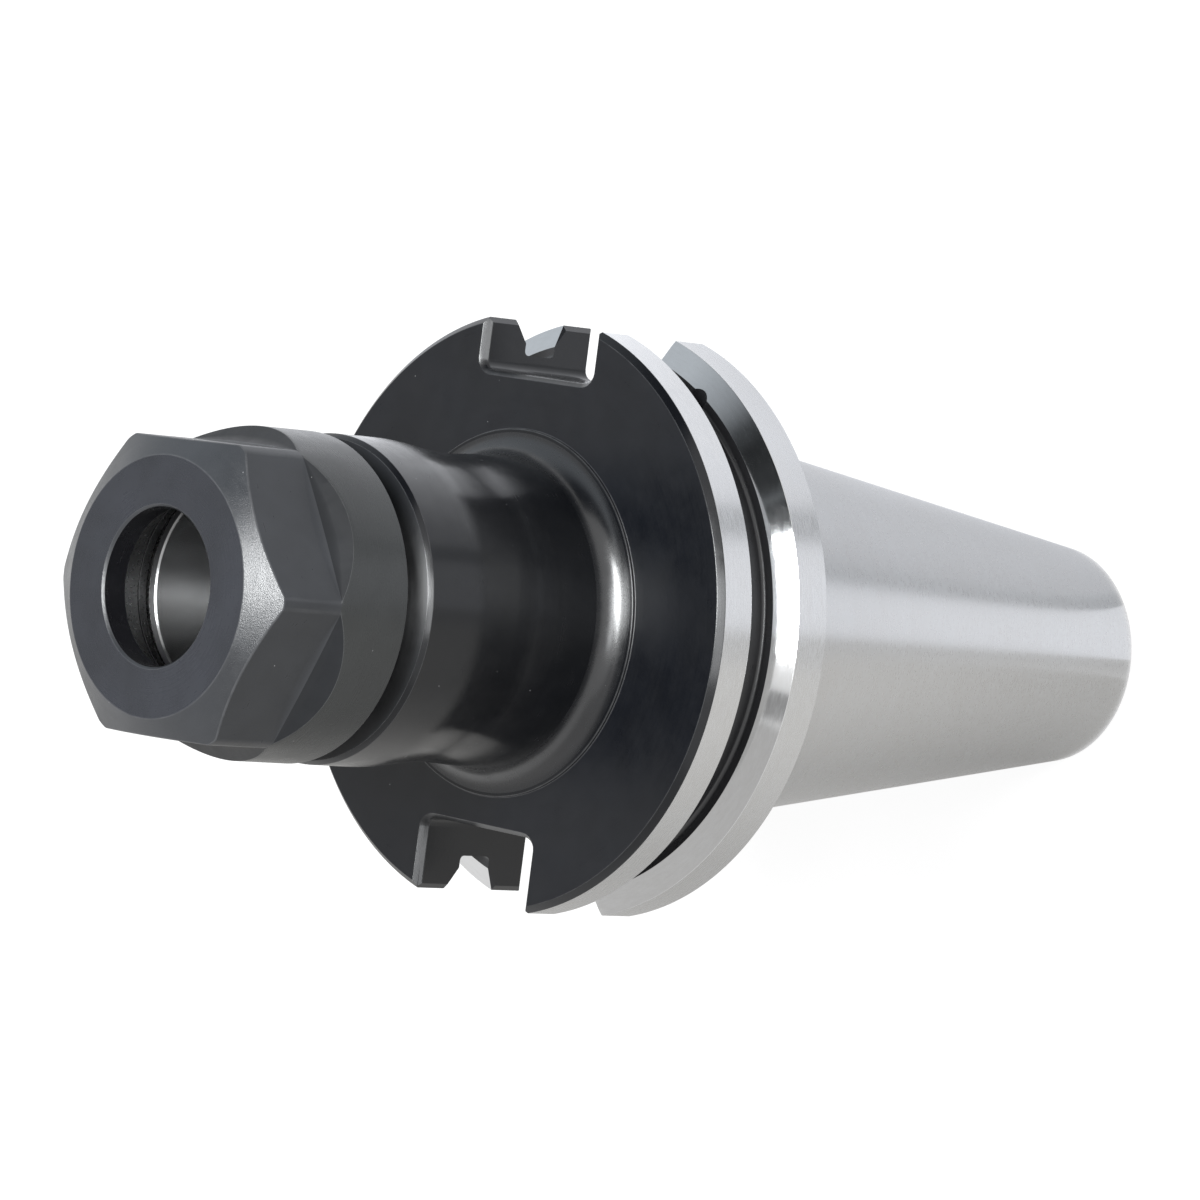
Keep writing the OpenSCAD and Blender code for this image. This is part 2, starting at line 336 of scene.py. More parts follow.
# Meshes
def make_mesh(name, rings, finishes, rubs):
    """Closed skin over a closed row of rings. finishes holds one number for each face."""
    count = len(rings[0])
    verts = [(x * MM, y * MM, z * MM) for ring in rings for x, y, z in ring]
    faces = []
    for j in range(len(rings)):
        a = j * count
        b = (j + 1) % len(rings) * count
        for i in range(count):
            k = (i + 1) % count
            faces.append((a + i, a + k, b + k, b + i))
    mesh = bpy.data.meshes.new(name)
    mesh.from_pydata(verts, [], faces)
    mesh.polygons.foreach_set("material_index", finishes)
    rub = mesh.attributes.new("rub", "FLOAT", "POINT")
    rub.data.foreach_set("value", rubs)
    return mesh


def held(value):
    """A value held between 0 and 1."""
    return min(max(value, 0.0), 1.0)


def stud_thread_r(angle, z):
    """Radius of the pull stud's internal thread: its basic profile, faded at both ends."""
    turns = (z / STUD_PITCH - angle / (2 * math.pi)) % 1.0
    off = abs(turns - 0.5)
    flank_start, flank_end = THREAD_FLANK
    share = held((flank_end - off) / (flank_end - flank_start))
    start = held((z - PILOT_DEPTH - STUD_THREAD_LEAD) / STUD_RUN_IN)
    end = held((STUD_THREAD_END - z) / STUD_RUN_OUT)
    return STUD_MINOR_R + (STUD_MAJOR_R - STUD_MINOR_R) * share * start * end


def body_section():
    """Section of the holder body, up its outside, over the nose and down its bores."""
    relief_z = REAR_Z - RELIEF_W
    apex_r = OVER_PINS / 2 - PIN_R - PIN_R / math.sin(FLANK_ANGLE)
    rim_half = (FLANGE_R - apex_r) * math.tan(FLANK_ANGLE)
    flank_r = apex_r + SLOT_HALF / math.tan(FLANK_ANGLE)
    cone_z = COLLAR_Z - (COLLAR_R - NECK_R) / math.tan(NECK_CONE)
    tip_len = (STUD_MINOR_R - THROUGH_R) / math.tan(DRILL_POINT)
    socket_z = NOSE_Z - (SOCKET_R - THROUGH_R) / math.tan(SOCKET_ANGLE)
    chamfer_r = SOCKET_R - SOCKET_CHAMFER * math.tan(SOCKET_ANGLE)
    # Depths below the flange's faces at which the chamfers of the drive slots turn
    edge_depths = [edge + turn * KEY_EDGE_SOFT for edge in (KEY_FLOOR_EDGE, KEY_WALL_EDGE)
                   for turn in KEY_EDGE_RINGS]

    path = [
        corner(PILOT_R + PILOT_CHAMFER, 0, BLACK_BODY, 0.08, 2),
        corner(taper_r(0) - END_CHAMFER, 0, GROUND_RIM, 0.12, 3),
        corner(taper_r(END_CHAMFER), END_CHAMFER, GROUND_TAPER, 0.15, 3),
    ]
    # Plain rings that keep the faces of the long taper short
    for z in (14, 28, 42, 56):
        path.append(corner(taper_r(z), z, GROUND_TAPER))
    path += [
        corner(taper_r(relief_z), relief_z, GROUND_RIM, 0.08, 3),
        corner(RELIEF_R, relief_z + taper_r(relief_z) - RELIEF_R, GROUND_RIM, 0.15, 2),
        corner(RELIEF_R, REAR_Z, BLACK_BODY, 0.2, 2),
        corner(FLANGE_R - REAR_CHAMFER, REAR_Z, GROUND_RIM, 0.08, 3),
        corner(FLANGE_R, REAR_Z + REAR_CHAMFER, GROUND_RIM, 0.12, 3),
        *(corner(FLANGE_R, REAR_Z + depth, GROUND_RIM) for depth in edge_depths),
        corner(FLANGE_R, GROOVE_Z - rim_half, GROUND_FLANK, 0.12, 4),
        corner(flank_r, GROOVE_Z - SLOT_HALF, BLACK_GROOVE, 0.1, 3),
    ]
    fillet = FLOOR_FILLET
    for side, start, end in ((-1, 270, 180), (1, 180, 90)):
        centre = (FLOOR_R + fillet, GROOVE_Z + side * (SLOT_HALF - fillet))
        path += arc(centre, fillet, start, end, 4, BLACK_GROOVE)
    path += [
        corner(flank_r, GROOVE_Z + SLOT_HALF, GROUND_FLANK, 0.1, 3),
        corner(FLANGE_R, GROOVE_Z + rim_half, GROUND_RIM, 0.12, 4),
        *(corner(FLANGE_R, FRONT_Z - depth, GROUND_RIM) for depth in reversed(edge_depths)
          if depth > FRONT_CHAMFER + KEY_RING_CLEAR),
        corner(FLANGE_R, FRONT_Z - FRONT_CHAMFER, BLACK_BODY, 0.14, 4),
        *(corner(FLANGE_R - FRONT_CHAMFER + depth, FRONT_Z - depth, BLACK_BODY)
          for depth in reversed(edge_depths) if depth < FRONT_CHAMFER - KEY_RING_CLEAR),
        corner(FLANGE_R - FRONT_CHAMFER, FRONT_Z, TURNED_FACE, 0.16, 4),
        # A plain round ring of the face, inside the drive slots
        corner(ROOT_R + 1.2, FRONT_Z, TURNED_FACE),
        corner(ROOT_R, FRONT_Z, BLACK_BODY, 0.12, 3),
        corner(ROOT_R, FOOT_Z, BLACK_BODY, 0.14, 4),
    ]
    # The fillet meets the waist of the neck a little before it is upright
    path += arc((NECK_FOOT_R + NECK_FILLET, FOOT_Z + NECK_FILLET), NECK_FILLET, 270, 183, 14,
                TURNED_FILLET)
    path[-1] = corner(*path[-1][:2], BLACK_BODY)
    path += [
        corner((NECK_R + NECK_FOOT_R) / 2, (FOOT_Z + NECK_FILLET + cone_z) / 2, BLACK_BODY),
        corner(NECK_R, cone_z, BLACK_BODY, CONE_BLEND, 6),
        corner((NECK_R + COLLAR_R) / 2, (cone_z + COLLAR_Z) / 2, BLACK_BODY),
        corner(COLLAR_R, COLLAR_Z, BLACK_BODY, CONE_BLEND, 5),
        # A plain ring where the soft blend into the collar has ended
        corner(COLLAR_R, COLLAR_Z + 3, BLACK_BODY),
        corner(COLLAR_R, SHOULDER_Z - COLLAR_CHAMFER, BLACK_BODY, 0.12, 4),
        corner(COLLAR_R - COLLAR_CHAMFER, SHOULDER_Z, TURNED_SHOULDER, 0.12, 4),
        corner(NOSE_THREAD_R - NOSE_RELIEF_DEPTH, SHOULDER_Z, BLACK_BODY, 0.3, 3),
        corner(NOSE_THREAD_R - NOSE_RELIEF_DEPTH, SHOULDER_Z + NOSE_RELIEF_W, BLACK_BODY),
        corner(NOSE_THREAD_R, SHOULDER_Z + NOSE_RELIEF_W + NOSE_RELIEF_DEPTH, CUT_THREAD),
        corner(NOSE_THREAD_R, NOSE_Z - NOSE_CHAMFER, BLACK_BODY, 0.1, 2),
        corner(NOSE_THREAD_R - NOSE_CHAMFER, NOSE_Z, GROUND_RIM, 0.1, 3),
        corner(SOCKET_R + SOCKET_CHAMFER, NOSE_Z, DARK_BORE, 0.1, 3),
        # Grinding the socket has cleaned the inner third of its chamfer
        corner((SOCKET_R + SOCKET_CHAMFER + 2 * chamfer_r) / 3, NOSE_Z - SOCKET_CHAMFER * 2 / 3,
               GROUND_SOCKET),
        corner(chamfer_r, NOSE_Z - SOCKET_CHAMFER, GROUND_SOCKET, 0.1, 3),
        # A plain ring of the socket's cone, 2 mm wider than the through bore
        corner(THROUGH_R + 2, socket_z + 2 / math.tan(SOCKET_ANGLE), GROUND_SOCKET),
        corner(THROUGH_R, socket_z, DARK_BORE, 0.5, 2),
        corner(THROUGH_R, STUD_HOLE_DEPTH + tip_len, DARK_BORE, 0.1, 2),
        corner(STUD_MINOR_R, STUD_HOLE_DEPTH, DARK_BORE, 0.1, 2),
    ]
    # Rings of the pull stud's thread, which end about 0.2 mm before the pilot
    steps = round((STUD_THREAD_END - PILOT_DEPTH - 0.2) / (STUD_PITCH / THREAD_RINGS))
    for i in range(steps + 1):
        z = STUD_THREAD_END - i * STUD_PITCH / THREAD_RINGS
        path.append(corner(STUD_MINOR_R, z, CUT_THREAD))
    path += [
        corner(STUD_MINOR_R, PILOT_DEPTH, DARK_BORE),
        corner(PILOT_R, PILOT_DEPTH, GROUND_SOCKET, 0.2, 2),
        corner(PILOT_R, PILOT_CHAMFER, GROUND_RIM, 0.08, 2),
    ]
    return rounded(path)


def body_mesh():
    """Skin of the holder body, still without the balance drillings."""
    section = body_section()
    rings, rubs, slotted = [], [], []
    for r, z, rub, finish in section:
        on_flange = REAR_Z - SLACK <= z <= FRONT_Z + SLACK and r > FLANGE_FROM
        slotted.append(on_flange)
        if on_flange:
            rings.append(slotted_ring(r, z))
            depth = min(z - REAR_Z, FRONT_Z - z)
            for column in range(COLUMNS):
                wall = in_slot(column) and in_slot(column - 1)
                rubs.append(key_rub(column, depth) if wall else rub)
        elif finish == CUT_THREAD and z < STUD_HOLE_DEPTH:
            radii = [stud_thread_r(a, z) for a in COLUMN_ANGLES]
            rings.append([(thread_r * math.cos(a), thread_r * math.sin(a), z)
                          for thread_r, a in zip(radii, COLUMN_ANGLES)])
            rubs += [0.0] * COLUMNS
        else:
            rings.append(round_ring(r, z))
            rubs += [rub] * COLUMNS
    finishes = []
    for j, (r, z, rub, finish) in enumerate(section):
        both = slotted[j] and slotted[(j + 1) % len(section)]
        for column in range(COLUMNS):
            finishes.append(BLACK_BODY if both and in_slot(column) else finish)
    return make_mesh("holder_body_skin", rings, finishes, rubs)


def drilling_cutter(turn):
    """Cutter for one balance drilling, with its drill point."""
    steps = 48
    floor = FLOOR_R - DRILLING_DEPTH
    tip = floor - DRILLING_R / math.tan(DRILL_POINT)
    verts = [(tip, 0.0, 0.0)]
    for x in (floor, FLANGE_R + 1):
        for i in range(steps):
            a = 2 * math.pi * i / steps
            verts.append((x, DRILLING_R * math.cos(a), DRILLING_R * math.sin(a)))
    faces = []
    for i in range(steps):
        k = (i + 1) % steps
        faces.append((0, 1 + k, 1 + i))
        faces.append((1 + i, 1 + k, 1 + steps + k, 1 + steps + i))
    faces.append(tuple(1 + steps + i for i in range(steps)))
    mesh = bpy.data.meshes.new("drilling_cutter")
    mesh.from_pydata([Vector(v) * MM for v in verts], [], faces)
    mesh.transform(Matrix.Translation((0, 0, GROOVE_Z * MM)) @ Matrix.Rotation(turn, 4, "Z"))
    return mesh


def nut_outline():
    """One sixth of the hexagon: (degrees from a flat's middle, radius, rub) for each column."""
    flat_steps = 16
    corner_steps = 3
    ease = HEX_CORNER
    centre = Vector((NUT_FLAT - ease, math.sqrt((NUT_R - ease) ** 2 - (NUT_FLAT - ease) ** 2)))
    flat_end = math.degrees(math.atan2(centre.y, NUT_FLAT))
    land = math.degrees(math.atan2(centre.y, centre.x))
    half = [flat_end * i / flat_steps for i in range(flat_steps + 1)]
    half += [flat_end + (land - flat_end) * i / corner_steps for i in range(1, corner_steps + 1)]
    points = []
    for angle in half:
        a = math.radians(angle)
        along = centre.x * math.cos(a) + centre.y * math.sin(a)
        if angle <= flat_end:
            r = NUT_FLAT / math.cos(a)
        else:
            r = along + math.sqrt(max(along ** 2 - centre.length_squared + ease ** 2, 0.0))
        rub = 1.0 if flat_end < angle < land else 0.0
        points.append((angle, r, rub))
    left = [(-a, r, rub) for a, r, rub in reversed(points[1:])]
    return left + points + [(30.0, NUT_R, 0.0)]


def nut_section(angle, flat_r):
    """Section of the nut through one column; angle is measured from the middle of a flat."""
    a = math.radians(angle % 60 if angle % 60 <= 30 else angle % 60 - 60)
    run_out = max(NUT_R * math.cos(a) - NUT_FLAT, 0.0)
    # The hexagon's corners lie on the round part, so they have no run-out
    if flat_r > NUT_R - 0.01:
        run_out = 0.0
    recess_z = -MOUTH_LEN - (PRESS_R - MOUTH_R) / PRESS_SLOPE
    lip_front = recess_z - RECESS_W
    lip_rear = lip_front - LIP_W
    thread_z = lip_rear - NUT_RELIEF_W
    # The lip's hole is moved towards the corner that lies at 30 degrees
    towards = math.radians(angle - 30)
    lip_r = LIP_OFFSET * math.cos(towards) + math.sqrt(
        LIP_R ** 2 - (LIP_OFFSET * math.sin(towards)) ** 2)
    relief_r = NUT_THREAD_R + NUT_RELIEF_DEPTH
    cone_z = -(flat_r - NUT_FACE_R) * NUT_FACE_SLOPE
    # Rounding in front of a flat, a little tighter at the hexagon's corners
    cone_end = 0.3 if flat_r < NUT_R - 0.3 else 0.25
    path = [
        corner(NUT_THREAD_R, THREAD_LEAD - NUT_LEN, NUT_INSIDE),
        corner(NUT_THREAD_R + THREAD_LEAD, -NUT_LEN, NUT_TURNED, 0.1, 2),
        corner(NUT_R - NUT_REAR_CHAMFER, -NUT_LEN, NUT_TURNED, 0.12, 3),
        corner(NUT_R, NUT_REAR_CHAMFER - NUT_LEN, NUT_TURNED, 0.14, 3),
        corner(NUT_R, -FLATS_LEN - run_out - 0.5, NUT_TURNED),
        corner(NUT_R, -FLATS_LEN - run_out, NUT_RUN_OUT, 0.12, 3),
        corner(flat_r, -FLATS_LEN, NUT_SIDES, FLAT_RUN_OUT, 6),
        corner(flat_r, (cone_z - FLATS_LEN) / 2, NUT_SIDES),
        corner(flat_r, cone_z, NUT_CONE, cone_end, 5),
        corner(NUT_FACE_R, 0, NUT_FACE, 0.35, 4),
        corner(MOUTH_R + MOUTH_CHAMFER, 0, NUT_CONE, 0.1, 3),
        corner(MOUTH_R, -MOUTH_CHAMFER, NUT_INSIDE, 0.1, 3),
        corner(MOUTH_R, -MOUTH_LEN, NUT_PRESS, 0.15, 3),
        corner(PRESS_R, recess_z, NUT_INSIDE, 0.08, 2),
        corner(RECESS_R, recess_z, NUT_INSIDE, 0.1, 2),
        corner(RECESS_R, lip_front, NUT_INSIDE, 0.1, 2),
        corner(lip_r, lip_front, NUT_PRESS, 0.15, 3),
        corner(lip_r, lip_rear, NUT_INSIDE, 0.15, 3),
        corner(relief_r, lip_rear, NUT_INSIDE, 0.1, 2),
        corner(relief_r, thread_z, NUT_INSIDE),
        corner(NUT_THREAD_R, thread_z - NUT_RELIEF_DEPTH, NUT_INSIDE),
    ]
    return rounded(path)


def nut_mesh():
    """Skin of the nut, from a section through each of its columns."""
    outline = nut_outline()
    columns = []
    for k in range(6):
        for angle, r, rub in outline:
            columns.append((angle + 60 * k, r, rub))
    sections = [nut_section(angle, r) for angle, r, rub in columns]
    rings, finishes, rubs = [], [], []
    cone_z = -(NUT_R - NUT_FACE_R) * NUT_FACE_SLOPE
    near = 0.1
    # Rings of the round rear part, whose columns are spread evenly
    even = [j for j, (r, z, rub, finish) in enumerate(sections[0])
            if r > NUT_R - 1 and z < -FLATS_LEN - RUN_OUT_H]
    for j in range(len(sections[0])):
        ring = []
        for k, ((angle, flat_r, edge), section) in enumerate(zip(columns, sections)):
            r, z, rub, finish = section[j]
            if j in even:
                angle = columns[0][0] + 360 * k / len(columns)
            turn = math.radians(angle + NUT_PHASE + 30)
            ring.append((r * math.cos(turn), r * math.sin(turn), z + NUT_Z))
            on_side = -FLATS_LEN - near < z < cone_z and r > NUT_FLAT - near
            rubs.append(max(rub, edge * CORNER_WEAR) if on_side else rub)
            finishes.append(finish)
        rings.append(ring)
    return make_mesh("clamping_nut_skin", rings, finishes, rubs)


def apply_modifiers(obj):
    """Puts the result of an object's modifiers in its mesh."""
    graph = bpy.context.evaluated_depsgraph_get()
    mesh = bpy.data.meshes.new_from_object(obj.evaluated_get(graph))
    obj.modifiers.clear()
    old = obj.data
    obj.data = mesh
    bpy.data.meshes.remove(old)


def finish_mesh(obj, sharp):
    """Welds points that fall together, smooths the shading and keeps flat faces flat.

    Edges that turn by more than sharp degrees stay sharp.
    """
    weld = obj.modifiers.new("weld", "WELD")
    weld.merge_threshold = WELD_GAP * MM
    apply_modifiers(obj)
    obj.data.shade_smooth()
    obj.data.set_sharp_from_angle(angle=math.radians(sharp))
    weighted = obj.modifiers.new("weighted", "WEIGHTED_NORMAL")
    weighted.mode = "FACE_AREA"
    weighted.weight = 90
    weighted.keep_sharp = True


def true_flanks(obj):
    """Gives the flanks of the groove the exact normals of a cone, also round the drillings."""
    apply_modifiers(obj)
    mesh = obj.data
    normals = [corner_normal.vector.copy() for corner_normal in mesh.corner_normals]
    for face in mesh.polygons:
        if face.material_index != GROUND_FLANK:
            continue
        rise = math.copysign(math.cos(FLANK_ANGLE), face.normal.z)
        for loop in face.loop_indices:
            place = mesh.vertices[mesh.loops[loop].vertex_index].co
            way = Vector((place.x, place.y, 0)).normalized() * math.sin(FLANK_ANGLE)
            way.z = rise
            if face.normal.angle(way) < FLANK_MATCH:
                normals[loop] = way
    mesh.normals_split_custom_set(normals)


def new_object(name, mesh, materials):
    for material in materials:
        mesh.materials.append(material)
    obj = bpy.data.objects.new(name, mesh)
    bpy.context.scene.collection.objects.link(obj)
    return obj


# Shader nodes
def put(tree, kind, inputs=(), **settings):
    """Adds a node. inputs maps its sockets to values or to the sockets that feed them."""
    node = tree.nodes.new(kind)
    for key, value in settings.items():
        setattr(node, key, value)
    for key, value in dict(inputs).items():
        socket = node.inputs[key]
        if isinstance(value, bpy.types.NodeSocket):
            tree.links.new(value, socket)
        else:
            socket.default_value = value
    return node


def maths(tree, operation, a, b=0.0, clamp=False):
    node = put(tree, "ShaderNodeMath", {0: a, 1: b}, operation=operation, use_clamp=clamp)
    return node.outputs[0]


def vector_maths(tree, operation, *vectors, **factors):
    inputs = dict(enumerate(vectors))
    inputs.update(factors)
    return put(tree, "ShaderNodeVectorMath", inputs, operation=operation).outputs[0]


def mixture(tree, *parts):
    """Sum of values, each times its share; parts are pairs of (value, share)."""
    total = None
    for value, share in reversed(parts):
        part = maths(tree, "MULTIPLY", value, share)
        total = part if total is None else maths(tree, "ADD", part, total)
    return total


def spread(tree, value, low, high, to_low=0.0, to_high=1.0):
    """Takes low to to_low and high to to_high, with both ends held."""
    node = put(tree, "ShaderNodeMapRange", {"Value": value, "From Min": low, "From Max": high,
                                            "To Min": to_low, "To Max": to_high})
    return node.outputs["Result"]


# Sockets of a Mix node for colours and for numbers: factor, first, second
COLOUR_MIX = (0, 6, 7)
NUMBER_MIX = (0, 2, 3)


def blend(tree, share, a, b):
    """Colour a where share is 0, colour b where it is 1."""
    node = put(tree, "ShaderNodeMix", zip(COLOUR_MIX, (share, a, b)), data_type="RGBA")
    return node.outputs[2]


def blend_numbers(tree, share, a, b):
    node = put(tree, "ShaderNodeMix", zip(NUMBER_MIX, (share, a, b)), data_type="FLOAT")
    return node.outputs[0]


def noise(tree, vector, scale=1.0, detail=2.0, rough=0.5):
    node = put(tree, "ShaderNodeTexNoise", {"Vector": vector, "Scale": scale, "Detail": detail,
                                            "Roughness": rough}, noise_dimensions="3D")
    return node.outputs["Fac"]


def new_group(name, inputs, outputs):
    """Shader node group. Gives it with the sockets that bring its inputs and take its outputs."""
    group = bpy.data.node_groups.new(name, "ShaderNodeTree")
    for label, value in inputs:
        socket = group.interface.new_socket(label, in_out="INPUT", socket_type="NodeSocketFloat")
        socket.default_value = value
    for label in outputs:
        group.interface.new_socket(label, in_out="OUTPUT", socket_type="NodeSocketFloat")
    given = group.nodes.new("NodeGroupInput").outputs
    out = group.nodes.new("NodeGroupOutput").inputs
    return group, given, out


def millimetres(tree):
    """Place on the piece, in millimetres."""
    place = put(tree, "ShaderNodeTexCoord").outputs["Object"]
    return vector_maths(tree, "SCALE", place, Scale=1 / MM)


def turned_group():
    """Fine rings that a turning or grinding tool leaves round the axis."""
    group, given, out = new_group("turned_rings", [("Pitch", 0.2), ("Drift", 0.15)],
                                  ["Fine", "Bands", "Streaks"])
    place = millimetres(group)
    xyz = put(group, "ShaderNodeSeparateXYZ", {0: place}).outputs
    across = maths(group, "MULTIPLY", xyz["X"], xyz["X"])
    deep = maths(group, "MULTIPLY", xyz["Y"], xyz["Y"])
    r = maths(group, "SQRT", maths(group, "ADD", across, deep))
    # Each ring is one step of height or radius, so faces that lie flat get rings too
    along = maths(group, "ADD", maths(group, "DIVIDE", xyz["Z"], given["Pitch"]),
                  maths(group, "DIVIDE", r, given["Pitch"]))
    lift = put(group, "ShaderNodeCombineXYZ", {"Z": along}).outputs[0]
    # Round the axis the pattern moves slowly, so each ring stays a ring
    flat = vector_maths(group, "MULTIPLY", place, (1.0, 1.0, 0.0))
    around = vector_maths(group, "NORMALIZE", flat)
    slow = vector_maths(group, "SCALE", around, Scale=given["Drift"])
    rings = vector_maths(group, "ADD", slow, lift)
    group.links.new(noise(group, rings, detail=3.0, rough=0.6), out["Fine"])
    group.links.new(noise(group, rings, scale=0.09), out["Bands"])
    # Short dashes along the rings, as a grinding wheel leaves
    dashes = vector_maths(group, "ADD", vector_maths(group, "SCALE", around, Scale=26.0), lift)
    group.links.new(noise(group, dashes, rough=0.55), out["Streaks"])
    return group


def skin_group():
    """Grain and clouds of a black oxide skin."""
    group, given, out = new_group("oxide_skin", [("Grain", 0.12), ("Cloud", 6.0)],
                                  ["Grain", "Clouds", "Smears"])
    place = millimetres(group)
    fine = vector_maths(group, "DIVIDE", place, given["Grain"])
    large = vector_maths(group, "DIVIDE", place, given["Cloud"])
    group.links.new(noise(group, fine, detail=3.0, rough=0.6), out["Grain"])
    group.links.new(noise(group, large, detail=3.0, rough=0.55), out["Clouds"])
    group.links.new(noise(group, large, scale=2.7, detail=4.0, rough=0.7), out["Smears"])
    return group


def rub_group():
    """Where handling has rubbed an edge a little brighter."""
    group, given, out = new_group("edge_rub", [("Amount", 0.3), ("Patch", 2.0)], ["Rub"])
    rub = put(group, "ShaderNodeAttribute", attribute_name="rub").outputs["Fac"]
    patch = vector_maths(group, "DIVIDE", millimetres(group), given["Patch"])
    broken = spread(group, noise(group, patch, detail=4.0, rough=0.6), 0.35, 0.65, 0.4, 1.0)
    worn = maths(group, "MULTIPLY", rub, broken)
    group.links.new(maths(group, "MULTIPLY", worn, given["Amount"], clamp=True), out["Rub"])
    return group


def specks_group():
    """Small bright nicks and dust, thinly scattered."""
    group, given, out = new_group("specks", [("Spacing", 2.0), ("Size", 0.06)], ["Specks"])
    cell = vector_maths(group, "DIVIDE", millimetres(group), given["Spacing"])
    dots = put(group, "ShaderNodeTexVoronoi", {"Vector": cell, "Scale": 1.0})
    near = maths(group, "LESS_THAN", dots.outputs["Distance"], given["Size"])
    # Only some of the cells keep their speck
    some = spread(group, noise(group, cell, scale=0.35, detail=1.0), 0.52, 0.6)
    group.links.new(maths(group, "MULTIPLY", near, some), out["Specks"])
    return group


TURNED = turned_group()
SKIN = skin_group()
RUB = rub_group()
SPECKS = specks_group()


def use(tree, group, **inputs):
    """Places a group in a material with its own values. Gives the group's outputs."""
    node = tree.nodes.new("ShaderNodeGroup")
    node.node_tree = group
    for label, value in inputs.items():
        node.inputs[label].default_value = value
    return node.outputs


def new_material(name):
    material = bpy.data.materials.new(name)
    material.use_nodes = True
    tree = material.node_tree
    tree.nodes.clear()
    shader = tree.nodes.new("ShaderNodeBsdfPrincipled")
    output = tree.nodes.new("ShaderNodeOutputMaterial")
    tree.links.new(shader.outputs["BSDF"], output.inputs["Surface"])
    return material, tree, shader


def tone(value, warm):
    """A grey, warmer or cooler by a small share."""
    return (value * (1 + warm), value, value * (1 - warm), 1.0)


def spin_reflections(tree, shader, spin):
    """Turned or ground skin: reflections run out along the axis and stay sharp round it."""
    shader.inputs["Anisotropic"].default_value = spin
    shader.inputs["Anisotropic Rotation"].default_value = 0.25
    tangent = put(tree, "ShaderNodeTangent", direction_type="RADIAL", axis="Z")
    tree.links.new(tangent.outputs[0], shader.inputs["Tangent"])


def add_relief(tree, shader, height, strength, depth):
    """Fine relief on a material; depth is in millimetres."""
    relief = put(tree, "ShaderNodeBump", {"Height": height, "Strength": strength,
                                          "Distance": depth * MM})
    tree.links.new(relief.outputs[0], shader.inputs["Normal"])


def ground_steel(name, light, dark, warm, rough, pitch, bump, spin, uneven=(0.85, 1.2)):
    """Bare ground steel: rings round the axis in colour, roughness and relief."""
    material, tree, shader = new_material(name)
    rings = use(tree, TURNED, Pitch=pitch, Drift=0.12)
    skin = use(tree, SKIN, Grain=0.2, Cloud=9.0)
    pattern = mixture(tree, (rings["Bands"], 0.2), (rings["Streaks"], 0.5), (skin["Clouds"], 0.3))
    share = spread(tree, pattern, 0.3, 0.7)
    tree.links.new(blend(tree, share, tone(dark, warm), tone(light, -0.01)),
                   shader.inputs["Base Color"])
    least, most = (rough * factor for factor in uneven)
    tree.links.new(spread(tree, rings["Streaks"], 0.3, 0.7, least, most),
                   shader.inputs["Roughness"])
    shader.inputs["Metallic"].default_value = 1.0
    spin_reflections(tree, shader, spin)
    add_relief(tree, shader, rings["Fine"], bump, 0.02)
    return material


# Bare steel where the black skin is rubbed through
WORN = (0.50, 0.50, 0.51, 1.0)


def black_oxide(name, colour, rough, specular, grain, bump, rub, rings_share=0.5, spin=0.0,
                sheen=0.0):
    """Black oxide skin on turned steel, rubbed through on its edges.

    rings_share is the part that the tool's rings have in the relief, and the grain has the rest.
    """
    material, tree, shader = new_material(name)
    skin = use(tree, SKIN, Grain=grain, Cloud=7.0)
    rings = use(tree, TURNED, Pitch=0.25, Drift=0.1)
    rubbed = use(tree, RUB, Amount=rub, Patch=1.6)["Rub"]
    specks = use(tree, SPECKS, Spacing=2.2, Size=0.03)["Specks"]
    cloudy = spread(tree, skin["Clouds"], 0.3, 0.7)
    darker = tuple(c * 0.72 for c in colour)
    base = blend(tree, cloudy, (*darker, 1.0), (*colour, 1.0))
    bare = maths(tree, "MAXIMUM", rubbed, maths(tree, "MULTIPLY", specks, 0.7))
    tree.links.new(blend(tree, bare, base, WORN), shader.inputs["Base Color"])
    tree.links.new(spread(tree, bare, 0.0, 1.0, 0.0, 0.9), shader.inputs["Metallic"])
    uneven = mixture(tree, (skin["Smears"], 0.6), (rings["Fine"], 0.4))
    tree.links.new(spread(tree, uneven, 0.35, 0.65, rough * 0.82, rough * 1.2),
                   shader.inputs["Roughness"])
    shader.inputs["Specular IOR Level"].default_value = specular
    if sheen:
        # The oiled skin reflects more where it is seen at a low angle
        facing = put(tree, "ShaderNodeLayerWeight", {"Blend": 0.5}).outputs["Facing"]
        tree.links.new(spread(tree, facing, 0.36, 0.62, specular, sheen),
                       shader.inputs["Specular IOR Level"])
    if spin:
        spin_reflections(tree, shader, spin)
    height = mixture(tree, (skin["Grain"], 1.0 - rings_share), (rings["Fine"], rings_share))
    add_relief(tree, shader, height, bump, 0.03)
    return material


